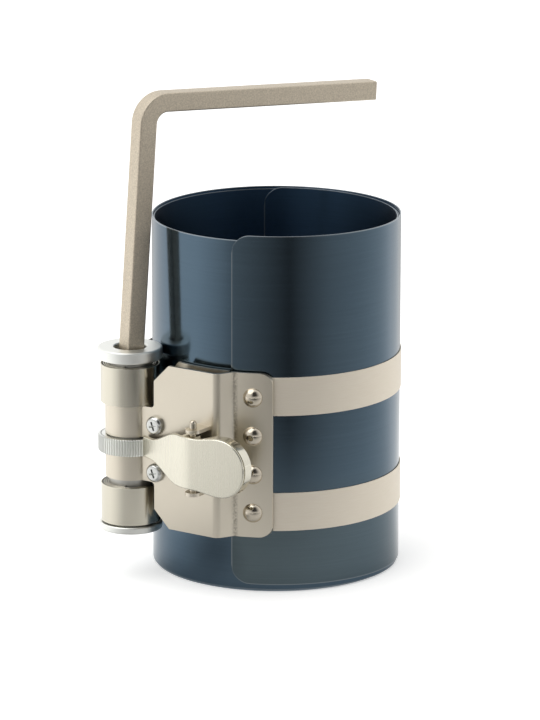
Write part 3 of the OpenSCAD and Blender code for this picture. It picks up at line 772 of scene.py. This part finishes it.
class COMPRESSOR_OT_shaft(bpy.types.Operator):
    """Turns the shaft, its collar and foot, and cuts the toothed wheel"""
    bl_idname = "compressor.shaft"
    bl_label = "Winding shaft"

    def execute(self, context):
        hardware = context.scene.ring_hardware
        plain, toothed = metals()["zinc_plated_steel"], metals()["zinc_plated_wheel"]
        collar_edge, foot_edge, wheel_edge = 0.9 * MM, 0.8 * MM, 0.5 * MM
        collar_hole, wheel_hole = 0.85 * hardware.key_side, hardware.shaft_r + 0.02 * MM
        settle("winding_shaft_bar", pressed("winding_shaft", TURNED_EDGE), "shaft", ["winding_shaft"],
               metals()["turned_steel"])
        self.turned("head_collar_ring", "head_collar", collar_hole, 0, collar_edge, plain)
        self.turned("foot_flange_disc", "foot_flange", 0, 0, foot_edge, plain)
        self.turned("ratchet_hub", "ratchet_wheel", wheel_hole, hardware.tooth, wheel_edge, toothed)
        self.teeth(hardware, wheel_edge, toothed)
        return {"FINISHED"}

    def turned(self, name, node, bore, inset, edge, material):
        """A ring or disc on the shaft, as far out as its CAD node less the inset."""
        low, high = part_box(node)
        outer, tall = (high.x - low.x) / 2 - inset, high.z - low.z
        profile = [(0, 0), (outer, 0), (outer, tall), (0, tall)]
        if bore:
            start = (bore, tall / 2)
            profile = [start, (bore, tall), (outer, tall), (outer, 0), (bore, 0), start]
        obj = lathe(node + "_turned", rounded(profile, edge), Vector((SHAFT.x, SHAFT.y, low.z)))
        settle(name, obj, "shaft", [node], material)

    def teeth(self, hardware, cap, zinc):
        """The wheel's teeth, as copies of one that is rooted in the hub and bevelled at both faces."""
        low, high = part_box("ratchet_wheel")
        outer, tall = (high.x - low.x) / 2, high.z - low.z
        root, pitch, sunk = outer - hardware.tooth, math.tau / hardware.wheel_teeth, 0.8 * MM
        inner = root - sunk
        # Each corner of a tooth: its radius and its share of the pitch.
        flank = [(inner, 0.02), (root, 0.04), (outer, 0.5), (outer, 0.74), (root, 0.98), (inner, 0.98)]
        # Each level: its height and the share of the tooth's depth that the bevel takes there.
        bevel = [(0, 0.55), (0.35 * cap, 0.2), (cap, 0)]
        levels = bevel + [(tall - z, shrink) for z, shrink in bevel[::-1]]
        mesh = bmesh.new()
        rings = []
        for z, shrink in levels:
            rings.append([mesh.verts.new(way(share * pitch) * (r - max(0, r - root) * shrink) + UP * z)
                          for r, share in flank])
        bridge(mesh, rings)
        mesh.faces.new(rings[0][::-1])
        mesh.faces.new(rings[-1])
        tooth = shell("tooth", mesh, crease=20)
        place = Vector((SHAFT.x, SHAFT.y, low.z))
        grow(tooth, "ring_of_copies", ring_tree, count=hardware.wheel_teeth, centre=place, material=zinc)
        settle("ratchet_teeth", tooth, "shaft", ["ratchet_wheel"])


class COMPRESSOR_OT_pawl(bpy.types.Operator):
    """Presses the thumb pawl, and makes its pin and spring"""
    bl_idname = "compressor.pawl"
    bl_label = "Pawl"

    def execute(self, context):
        wire_edge, slope = 0.02 * MM, 0.3 * MM
        settle("pawl_pressing", self.lever(context.scene.ring_hardware), "pawl", ["pawl_lever"],
               metals()["nickel_plated_lever"])
        settle("pawl_spring_wire", pressed("pawl_spring", wire_edge, crease=55), "pawl", ["pawl_spring"],
               metals()["drawn_spring_wire"])
        low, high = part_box("pivot_pin")
        r, tall = (high.x - low.x) / 2, high.z - low.z
        turns = [math.radians(9 * i) for i in range(10)]
        profile = [(0, 0), (r - slope, 0), (r, slope)]
        profile += [(r * math.cos(a), tall - r + r * math.sin(a)) for a in turns] + [(0, tall)]
        settle("pivot_pin_rod", lathe("pin", profile, Vector((PIN.x, PIN.y, low.z)), steps=48), "frame",
               ["pivot_pin"], metals()["nickel_plated_rivet"])
        return {"FINISHED"}

    def lever(self, hardware):
        """Sheet bent over the pin, with a rolled edge, a rim round the thumb end and two cheeks."""
        sheet, edge, back = hardware.pawl_sheet, hardware.pawl_edge, 0.25 * MM
        rim_start, rim_run, cheek_in = 9 * MM, 3 * MM, 0.3 * MM
        groove_steps = ((0.05, 0), (0.12, 1), (0.6, 1), (0.75, 0))
        line = pawl_front(hardware)
        outline = pawl_outline(hardware, line[0].x)
        rim_x = PIN.x + hardware.thumb_reach - rim_start
        middle_z = PIN.z + hardware.pawl_rise
        turns = [math.pi / 2 * i / 4 for i in range(5)]
        # Each ring: how far inside the outline, how deep, whether its depth counts from the rim's back, and
        # how much of the groove behind the thumb's face it takes.
        rings = [(edge * (1 - math.sin(a)), edge * (1 - math.cos(a)), 0, 0) for a in turns]
        rings += [(0, edge + deep * MM, 0, groove) for deep, groove in groove_steps]
        rings += [(back * (1 - math.cos(a)), back * (math.sin(a) - 1), 1, 0) for a in turns]
        rings += [(sheet, 0, 1, 0), (sheet, sheet, 0, 0)]
        mesh = bmesh.new()
        made = []
        inward = inset_ways(outline)
        for inner, deep, on_rim, groove in rings:
            ring = []
            for corner, step in zip(outline, inward):
                share = ease((corner.x - rim_x) / rim_run)
                point = corner + step * (inner + groove * share * hardware.pawl_groove)
                wall = sheet + (hardware.pawl_rim - sheet) * share
                y = height_at(line, point.x) + deep + on_rim * wall
                ring.append(mesh.verts.new((point.x, y, middle_z + point.y)))
            made.append(ring)
        bridge(mesh, made)
        for ring in (made[0], made[-1]):
            mesh.faces.new((ring[0], ring[1], ring[-1]))
            for i in range(1, len(ring) // 2):
                mesh.faces.new((ring[i], ring[i + 1], ring[-1 - i], ring[-i]))
        reach = pawl_half(hardware, PIN.x, line[0].x) - cheek_in
        for top in (middle_z + reach, middle_z - reach + sheet):
            self.cheek(mesh, line, top, sheet)
        return shell("lever", mesh, crease=40)

    def cheek(self, mesh, line, top, sheet):
        """One ear of the lever, with the pin's hole in it, which runs into the lever's sheet."""
        wide, hole, into_sheet = 3.3 * MM, 1.55 * MM, 0.6 * sheet
        step, farthest, count = 0.05 * MM, 9 * MM, 48
        loops = []
        for z in (top, top - sheet):
            outer, inner = [], []
            for i in range(count):
                ahead = way(math.tau * i / count)
                reach = hole
                while reach < farthest:
                    aside = ahead * (reach + step)
                    point = PIN + aside
                    round_end = aside.y > 0 and aside.length > wide
                    if round_end or abs(aside.x) > wide or point.y < height_at(line, point.x) + into_sheet:
                        break
                    reach += step
                outer.append(mesh.verts.new((PIN.x + ahead.x * reach, PIN.y + ahead.y * reach, z)))
                inner.append(mesh.verts.new((PIN.x + ahead.x * hole, PIN.y + ahead.y * hole, z)))
            loops += [outer, inner]
        upper, upper_hole, lower, lower_hole = loops
        bridge(mesh, [upper, lower, lower_hole, upper_hole, upper])


class COMPRESSOR_OT_fasteners(bpy.types.Operator):
    """Sets the flange rivets, and the knuckle screws with their nuts"""
    bl_idname = "compressor.fasteners"
    bl_label = "Fasteners"

    def execute(self, context):
        hardware = context.scene.ring_hardware
        self.rivets(hardware)
        self.screws(hardware)
        nuts = ["knuckle_nut_upper", "knuckle_nut_lower"]
        nut = pressed(nuts[0], TURNED_EDGE)
        grow(nut, "row_of_copies", row_tree, count=2, step=UP * (middle(nuts[1]).z - middle(nuts[0]).z),
             material=metals()["zinc_plated_screw"])
        settle("knuckle_nuts", nut, "frame", nuts)
        return {"FINISHED"}

    def rivets(self, hardware):
        """Four domed heads in a row up the flange."""
        nodes = ["flange_rivet_%d" % i for i in range(1, 5)]
        out = way(hardware.rivet_dir)
        spread = [v.co.dot(out) for v in frame["nodes"][nodes[0]].data.vertices]
        r, h = hardware.rivet_r, hardware.rivet_h
        foot = max(spread) - h
        tail = min(spread) - foot
        ball = (r ** 2 + h ** 2) / (2 * h)
        sweep = math.asin(r / ball)
        under = 0.2 * MM
        profile = [(0, tail), (SHANK_R, tail), (SHANK_R, 0), (r - under, 0)]
        steps = 14
        for i in range(steps):
            turn = sweep * (1 - i / steps)
            profile.append((ball * math.sin(turn), ball * math.cos(turn) - ball + h))
        profile.append((0, h))
        z = middle(nodes[0]).z
        step = (middle(nodes[-1]).z - z) / (len(nodes) - 1)
        obj = lathe("rivet", profile, out * foot + UP * z, out, steps=64)
        grow(obj, "row_of_copies", row_tree, count=len(nodes), step=UP * step,
             material=metals()["nickel_plated_rivet"])
        settle("flange_rivets", obj, "frame", nodes)

    def screws(self, hardware):
        """Two pan heads with a cross recess."""
        nodes = ["knuckle_screw_upper", "knuckle_screw_lower"]
        low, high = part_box(nodes[0])
        r, h = hardware.screw_r, hardware.screw_h
        wall, top, edge = h - 1.1 * MM, r - 1.0 * MM, 0.9 * MM
        place = Vector(((low.x + high.x) / 2, low.y + h, (low.z + high.z) / 2))
        tail = place.y - high.y
        head = [(0, tail), (SHANK_R, tail), (SHANK_R, 0), (r, 0), (r, wall), (top, h), (0, h)]
        obj = lathe("screw", rounded(head, edge), place, Vector((0, -1, 0)), steps=64)
        self.cut_cross(obj, place, h)
        grow(obj, "row_of_copies", row_tree, count=2, step=UP * (middle(nodes[1]).z - place.z),
             material=metals()["zinc_plated_screw"])
        settle("knuckle_screws", obj, "frame", nodes)

    def cut_cross(self, obj, place, h):
        """Sinks a tapered cross in a screw's head."""
        mesh = bmesh.new()
        first = math.radians(20)
        for turn in (first, first + math.pi / 2):
            wing = bmesh.ops.create_cube(mesh, size=1)["verts"]
            for v in wing:
                long, wide, z = CROSS_DEEP if v.co.z < 0 else CROSS_TOP
                v.co = Vector((v.co.x * long, v.co.y * wide, z)) * MM
            bmesh.ops.rotate(mesh, verts=wing, cent=(0, 0, 0), matrix=Matrix.Rotation(turn, 3, "Z"))
        turn = UP.rotation_difference(Vector((0, -1, 0))).to_matrix().to_4x4()
        mesh.transform(Matrix.Translation(place + Vector((0, -h, 0))) @ turn)
        cutter = mesh_object("cross", mesh)
        hole = obj.modifiers.new("cross", "BOOLEAN")
        hole.operation = "DIFFERENCE"
        hole.solver = "EXACT"
        hole.use_self = True
        hole.object = cutter
        data = baked(obj)
        obj.modifiers.clear()
        obj.data = data
        bpy.data.objects.remove(cutter)


class COMPRESSOR_OT_key(bpy.types.Operator):
    """Bends the square key and stands it in the shaft's socket"""
    bl_idname = "compressor.key"
    bl_label = "Key"

    def execute(self, context):
        hardware = context.scene.ring_hardware
        drop, foot, steps = 7 * MM, 5 * MM, 24
        ahead = way(hardware.key_dir)
        side = way(hardware.key_dir + math.pi / 2)
        rise = KEY_AXIS.normalized()
        out = (ahead - rise * ahead.dot(rise)).normalized()
        socket = Vector((SHAFT.x, SHAFT.y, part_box("head_collar")[0].z - drop))
        r, turn = hardware.key_turn, hardware.key_bend
        points = [socket - rise * foot, socket + rise * (hardware.key_leg - r)]
        hub = points[1] + out * r
        for i in range(1, steps + 1):
            a = turn * i / steps
            points.append(hub - out * r * math.cos(a) + rise * r * math.sin(a))
        points.append(points[-1] + (out * math.sin(turn) + rise * math.cos(turn)) * (hardware.key_arm - r))
        obj = path_object("key_path", points)
        grow(obj, "strip_along_path", strip_tree, width=hardware.key_side, thickness=hardware.key_side,
             edge_radius=hardware.key_edge, end_radius=0.0, side=side,
             material=metals()["blasted_key_steel"])
        settle("square_key_bar", obj, "key", ["square_key"])
        return {"FINISHED"}


class COMPRESSOR_OT_stage(bpy.types.Operator):
    """Lays the floor, lights the studio and sets the camera"""
    bl_idname = "compressor.stage"
    bl_label = "Stage"

    def execute(self, context):
        stage = context.scene.ring_stage
        self.floor(stage)
        self.cloth(stage)
        self.walls(context, stage)
        self.lamp(stage)
        self.camera(context, stage)
        context.scene.view_settings.view_transform = "Standard"
        return {"FINISHED"}

    def sheet(self, name, half, z, finish):
        """A level square sheet of a new material: the sheet, the material's tree and what adds to it."""
        mesh = bmesh.new()
        bmesh.ops.create_grid(mesh, x_segments=1, y_segments=1, size=half)
        mesh.transform(Matrix.Translation((0, 0, z)))
        obj = mesh_object(name, mesh)
        material = bpy.data.materials.new(finish)
        material.use_nodes = True
        obj.data.materials.append(material)
        return obj, material.node_tree, partial(add_node, material.node_tree)

    def floor(self, stage):
        """A wide pale floor just under the sleeve's edge, which the camera and the metal see as white."""
        half, z = 6, -0.02 * MM
        _, tree, add = self.sheet("studio_floor", half, z, "matt_white_paper")
        shader = tree.nodes["Principled BSDF"]
        shader.inputs["Base Color"].default_value = (*stage.floor, 1)
        shader.inputs["Roughness"].default_value = 0.9
        shader.inputs["Specular IOR Level"].default_value = 0.0
        shader.inputs["Emission Color"].default_value = (1, 1, 1, 1)
        path = add("LightPath")
        seen = add("Math", (path["Is Camera Ray"], path["Is Glossy Ray"]), operation="ADD")[0]
        seen = add("Math", (seen, path["Is Transmission Ray"]), operation="ADD")[0]
        lift = add("Math", (seen, stage.floor_lift), operation="MULTIPLY")[0]
        feed(shader, {"Emission Strength": lift})

    def cloth(self, stage):
        """A dark cloth on the floor, seen in the metal only, that grades off to the sides."""
        half, z = 1.6, 0.5 * MM
        cloth, tree, add = self.sheet("studio_flag", half, z, "black_cloth")
        cloth.visible_camera = cloth.visible_diffuse = cloth.visible_shadow = False
        cloth.visible_transmission = cloth.visible_volume_scatter = False
        place = add("TexCoord")["Object"]
        share = self.share(add, place, stage)
        flat = add("VectorMath", (place, (1, 1, 0)), operation="MULTIPLY")[0]
        reach = add("VectorMath", (flat,), operation="LENGTH")["Value"]
        near, far = [add("ValToRGB", (share,))[0] for _ in range(2)]
        for ramp, stops in ((near, CLOTH_NEAR), (far, CLOTH_FAR)):
            self.set_stops(ramp.node, [(0.5 + turn / 360, dark) for turn, dark in stops])
        # The near stops hold up to 80 mm from the sleeve's axis, and the far ones from 330 mm on.
        out = add("MapRange", (reach, 80 * MM, 330 * MM, 0, 1))[0]
        dark = add("Mix", {"Factor": out, 6: near, 7: far}, data_type="RGBA")[2]
        # A painted shadow on the cloth before the bracket's foot, standing in for the mechanism's shade on
        # the floor there.
        shadow_spot = way(stage.azimuth - math.pi / 2 - math.radians(53)) * 103 * MM
        off = add("VectorMath", (place, shadow_spot), operation="DISTANCE")["Value"]
        deep = add("MapRange", (off, 15 * MM, 60 * MM, 0.3, 0))[0]
        dark = add("Math", (dark, deep), operation="ADD", use_clamp=True)[0]
        clear = add("BsdfTransparent")[0]
        black = add("Emission", {"Strength": 0.0})[0]
        mixed = add("MixShader", (dark, clear, black))[0]
        feed(tree.nodes["Material Output"], {"Surface": mixed})

    def share(self, add, direction, stage):
        """Turn of a direction about the upright axis: 0.5 on the camera's side, 0 and 1 behind the part."""
        parts = add("SeparateXYZ", (direction,))
        turn = add("Math", (parts["Y"], parts["X"]), operation="ARCTAN2")[0]
        whole = add("Math", (turn, math.tau), operation="DIVIDE")[0]
        ahead = 0.75 - stage.azimuth / math.tau
        moved = add("Math", (whole, ahead), operation="ADD")[0]
        return add("Math", (moved,), operation="FRACT")[0]

    def set_stops(self, node, stops):
        """Sets the stops of a colour ramp, each a place and a grey level."""
        elements = node.color_ramp.elements
        while len(elements) < len(stops):
            elements.new(0.5)
        for element, (where, level) in zip(elements, stops):
            element.position = where
            element.color = (level, level, level, 1)

    def walls(self, context, stage):
        """A white studio, darker on the camera's side, with a white ceiling."""
        world = bpy.data.worlds.new("studio")
        context.scene.world = world
        world.use_nodes = True
        tree = world.node_tree
        add = partial(add_node, tree)
        look = add("TexCoord")["Generated"]
        share = self.share(add, look, stage)
        level, upper = [add("ValToRGB", (share,))[0] for _ in range(2)]
        self.set_stops(level.node, WALLS_LOW)
        self.set_stops(upper.node, WALLS_HIGH)
        rise = add("SeparateXYZ", (look,))["Z"]
        for start, end, over in ((0.1, 0.35, upper), (0.85, 0.97, (1, 1, 1, 1))):
            part = add("MapRange", (rise, start, end, 0, 1))[0]
            level = add("Mix", {"Factor": part, 6: level, 7: over}, data_type="RGBA")[2]
        feed(tree.nodes["Background"], {"Color": level})

    def lamp(self, stage):
        """One soft lamp, above the picture's left side."""
        data = bpy.data.lights.new("soft_box", "AREA")
        data.shape = "DISK"
        data.size = 2
        data.energy = stage.lamp_power
        box = linked("soft_box", data)
        box.location = (-0.5, -0.9, 1.8)
        box.rotation_euler = (-box.location).to_track_quat("-Z", "Y").to_euler()

    def camera(self, context, stage):
        """The camera of the photograph, taken as 540 by 720 pixels."""
        data = bpy.data.cameras.new("camera")
        camera = linked("camera", data)
        focal_px, tall_px = 4969, 720
        data.sensor_width = 36
        data.lens = data.sensor_width * focal_px / tall_px
        data.clip_start, data.clip_end = 0.1, 50
        place = way(stage.azimuth - math.pi / 2) * stage.distance + UP * stage.height
        turn = Matrix.Rotation(stage.azimuth - stage.yaw, 4, "Z")
        tilt = Matrix.Rotation(math.pi / 2 - stage.pitch, 4, "X")
        roll = Matrix.Rotation(stage.roll, 4, "Z")
        camera.matrix_world = Matrix.Translation(place) @ turn @ tilt @ roll
        context.scene.camera = camera


class COMPRESSOR_PT_panel(bpy.types.Panel):
    """Lists the pieces in the sidebar"""
    bl_label = "Piston ring compressor"
    bl_idname = "COMPRESSOR_PT_panel"
    bl_space_type = "VIEW_3D"
    bl_region_type = "UI"
    bl_category = "Compressor"

    def draw(self, context):
        for maker in MAKERS:
            self.layout.operator(maker.bl_idname)
        for group in GROUPS:
            held = getattr(context.scene, group)
            for name in held.bl_rna.properties.keys():
                if name not in ("rna_type", "name"):
                    self.layout.prop(held, name)


MAKERS = (COMPRESSOR_OT_stage, COMPRESSOR_OT_sleeve, COMPRESSOR_OT_bands, COMPRESSOR_OT_bracket,
          COMPRESSOR_OT_shaft, COMPRESSOR_OT_pawl, COMPRESSOR_OT_fasteners, COMPRESSOR_OT_key)
GROUPS = {"ring_sleeve": SleeveSizes, "ring_hardware": HardwareSizes, "ring_finish": Finishes,
          "ring_stage": StageSettings}


def register():
    for cls in (*GROUPS.values(), *MAKERS, COMPRESSOR_PT_panel):
        bpy.utils.register_class(cls)
    for name, group in GROUPS.items():
        setattr(bpy.types.Scene, name, PointerProperty(type=group))


def unregister():
    for name in GROUPS:
        delattr(bpy.types.Scene, name)
    for cls in (COMPRESSOR_PT_panel, *reversed(MAKERS), *reversed(GROUPS.values())):
        bpy.utils.unregister_class(cls)


def main():
    """Registers the add-on and makes every piece."""
    register()
    for maker in MAKERS:
        group, name = maker.bl_idname.split(".")
        getattr(getattr(bpy.ops, group), name)()


if __name__ == "__main__":
    main()
